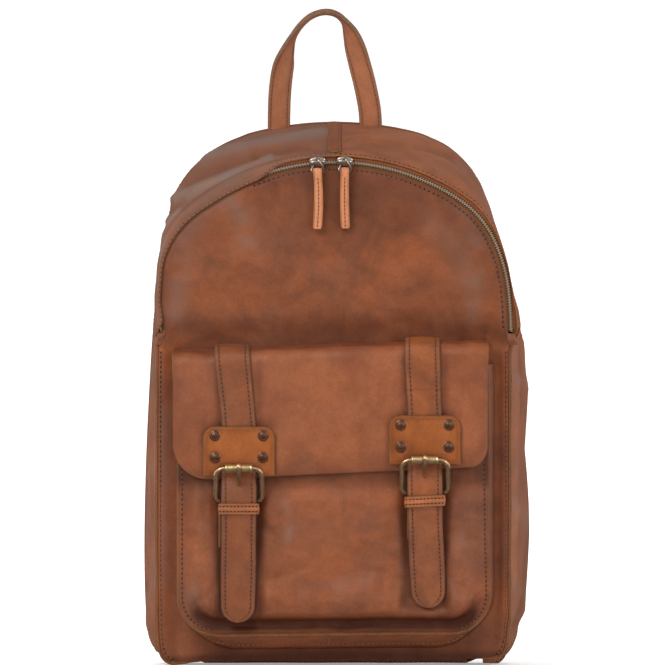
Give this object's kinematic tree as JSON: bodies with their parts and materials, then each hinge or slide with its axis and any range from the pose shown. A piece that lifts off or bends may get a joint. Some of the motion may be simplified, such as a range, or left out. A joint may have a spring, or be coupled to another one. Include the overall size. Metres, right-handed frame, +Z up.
{
  "type": "leather backpack",
  "caption": "Arched leather backpack with a two-way zip mouth, a front pocket under a flap with buckled straps, a grab handle and padded shoulder straps.",
  "frame": {"origin": "centre of the underside of the base panel of the main compartment", "axes": "+Z up, +X to the right as seen from the front, -Y towards the front pocket"},
  "size_m": [0.2906, 0.1803, 0.4932],
  "materials": {
    "body_leather": "burnished tan leather, satin, darker towards edges and seams",
    "dark_leather": "burnished brown leather, satin",
    "light_leather": "lighter orange-tan leather, satin",
    "lining_cloth": "plain woven cotton",
    "stiff_board": "matte board",
    "zip_tape": "woven tape with metal teeth",
    "antique_brass": "aged brass, worn bright on edges",
    "dark_brass": "dark antique brass",
    "snap_steel": "plain steel"
  },
  "bodies": {
    "shell": {"side_gusset_left": "body_leather", "side_gusset_right": "body_leather", "top_gusset_left": "body_leather", "top_gusset_right": "body_leather", "back_panel": "body_leather", "base_panel": "dark_leather", "base_board": "stiff_board", "front_panel_lower": "body_leather", "zip_chain_rear": "zip_tape", "lining": "lining_cloth", "pocket_face": "body_leather", "pocket_gusset": "dark_leather", "flap_top": "body_leather", "snap_socket_left": "snap_steel", "snap_socket_right": "snap_steel", "strap_yoke": "dark_leather", "strap_anchor_left": "dark_leather", "strap_anchor_right": "dark_leather", "lower_strap_left": "dark_leather", "lower_strap_right": "dark_leather"},
    "mouth": {"front_panel_upper": "body_leather", "zip_chain_front": "zip_tape"},
    "flap": {"pocket_flap": "body_leather", "upper_strap_left": "body_leather", "rivet_plate_left": "light_leather", "tongue_strap_left": "body_leather", "keeper_left": "light_leather", "buckle_tab_left": "dark_leather", "snap_stud_left": "snap_steel", "upper_strap_right": "body_leather", "rivet_plate_right": "light_leather", "tongue_strap_right": "body_leather", "keeper_right": "light_leather", "buckle_tab_right": "dark_leather", "snap_stud_right": "snap_steel", "rivet_left_1": "dark_brass", "rivet_left_2": "dark_brass", "rivet_left_3": "dark_brass", "rivet_left_4": "dark_brass", "rivet_right_1": "dark_brass", "rivet_right_2": "dark_brass", "rivet_right_3": "dark_brass", "rivet_right_4": "dark_brass"},
    "handle": {"grab_handle": "light_leather"},
    "buckle_left": {"buckle_frame_left": "antique_brass"},
    "prong_left": {"prong_left": "antique_brass"},
    "roller_left": {"roller_left": "antique_brass"},
    "buckle_right": {"buckle_frame_right": "antique_brass"},
    "prong_right": {"prong_right": "antique_brass"},
    "roller_right": {"roller_right": "antique_brass"},
    "slider_left": {"zip_slider_left": "dark_brass"},
    "ring_left": {"pull_ring_left": "dark_brass"},
    "pull_left": {"leather_pull_left": "light_leather"},
    "slider_right": {"zip_slider_right": "dark_brass"},
    "ring_right": {"pull_ring_right": "dark_brass"},
    "pull_right": {"leather_pull_right": "light_leather"},
    "carry_strap_left": {"shoulder_strap_left": "body_leather"},
    "adjuster_left": {"adjuster_left": "antique_brass"},
    "carry_strap_right": {"shoulder_strap_right": "body_leather"},
    "adjuster_right": {"adjuster_right": "antique_brass"}
  },
  "joints": [
    {"name": "flap_hinge", "type": "hinge", "parent": "shell", "child": "flap", "pos_m": [0, -0.0909, 0.234], "axis": [-1, 0, 0], "range_deg": [0, 140]},
    {"name": "mouth_open", "type": "hinge", "parent": "shell", "child": "mouth", "pos_m": [0, -0.051, 0.243], "axis": [-1, 0, 0], "range_deg": [-30, 0]},
    {"name": "handle_flop", "type": "hinge", "parent": "shell", "child": "handle", "pos_m": [-0.008, 0.047, 0.4108], "axis": [1, 0, 0], "range_deg": [-60, 60]},
    {"name": "buckle_tilt_left", "type": "hinge", "parent": "flap", "child": "buckle_left", "pos_m": [-0.072, -0.0939, 0.12296], "axis": [1, 0, 0], "range_deg": [0, 4]},
    {"name": "prong_lift_left", "type": "hinge", "parent": "buckle_left", "child": "prong_left", "pos_m": [-0.072, -0.0939, 0.12296], "axis": [1, 0, 0], "range_deg": [0, 8]},
    {"name": "roller_spin_left", "type": "hinge", "parent": "buckle_left", "child": "roller_left", "pos_m": [-0.072, -0.1019, 0.14746], "axis": [1, 0, 0], "continuous": true},
    {"name": "buckle_tilt_right", "type": "hinge", "parent": "flap", "child": "buckle_right", "pos_m": [0.0665, -0.0939, 0.12919], "axis": [1, 0, 0], "range_deg": [0, 4]},
    {"name": "prong_lift_right", "type": "hinge", "parent": "buckle_right", "child": "prong_right", "pos_m": [0.0665, -0.0939, 0.12919], "axis": [1, 0, 0], "range_deg": [0, 8]},
    {"name": "roller_spin_right", "type": "hinge", "parent": "buckle_right", "child": "roller_right", "pos_m": [0.0665, -0.1019, 0.15369], "axis": [1, 0, 0], "continuous": true},
    {"name": "zip_run_left", "type": "hinge", "parent": "mouth", "child": "slider_left", "pos_m": [0, -0.0526, 0.209], "axis": [0, -1, 0], "range_deg": [0, 25]},
    {"name": "ring_swing_left", "type": "hinge", "parent": "slider_left", "child": "ring_left", "pos_m": [-0.0135, -0.0581, 0.37545], "axis": [-1, 0, 0], "range_deg": [0, 60]},
    {"name": "pull_swing_left", "type": "hinge", "parent": "ring_left", "child": "pull_left", "pos_m": [-0.0135, -0.0581, 0.3688], "axis": [-1, 0, 0], "range_deg": [0, 60]},
    {"name": "zip_run_right", "type": "hinge", "parent": "mouth", "child": "slider_right", "pos_m": [0, -0.0526, 0.209], "axis": [0, 1, 0], "range_deg": [0, 25]},
    {"name": "ring_swing_right", "type": "hinge", "parent": "slider_right", "child": "ring_right", "pos_m": [0.007, -0.0581, 0.37585], "axis": [-1, 0, 0], "range_deg": [0, 60]},
    {"name": "pull_swing_right", "type": "hinge", "parent": "ring_right", "child": "pull_right", "pos_m": [0.007, -0.0581, 0.3692], "axis": [-1, 0, 0], "range_deg": [0, 60]},
    {"name": "strap_swing_left", "type": "hinge", "parent": "shell", "child": "carry_strap_left", "pos_m": [-0.042, 0.06, 0.362], "axis": [1, 0, 0], "range_deg": [0, 25]},
    {"name": "adjuster_tilt_left", "type": "hinge", "parent": "carry_strap_left", "child": "adjuster_left", "pos_m": [-0.07862, 0.064, 0.15385], "axis": [0.9877, 0, -0.1564], "range_deg": [0, 20]},
    {"name": "strap_swing_right", "type": "hinge", "parent": "shell", "child": "carry_strap_right", "pos_m": [0.042, 0.06, 0.362], "axis": [1, 0, 0], "range_deg": [0, 25]},
    {"name": "adjuster_tilt_right", "type": "hinge", "parent": "carry_strap_right", "child": "adjuster_right", "pos_m": [0.07862, 0.064, 0.15385], "axis": [0.9877, 0, 0.1564], "range_deg": [0, 20]}
  ]
}
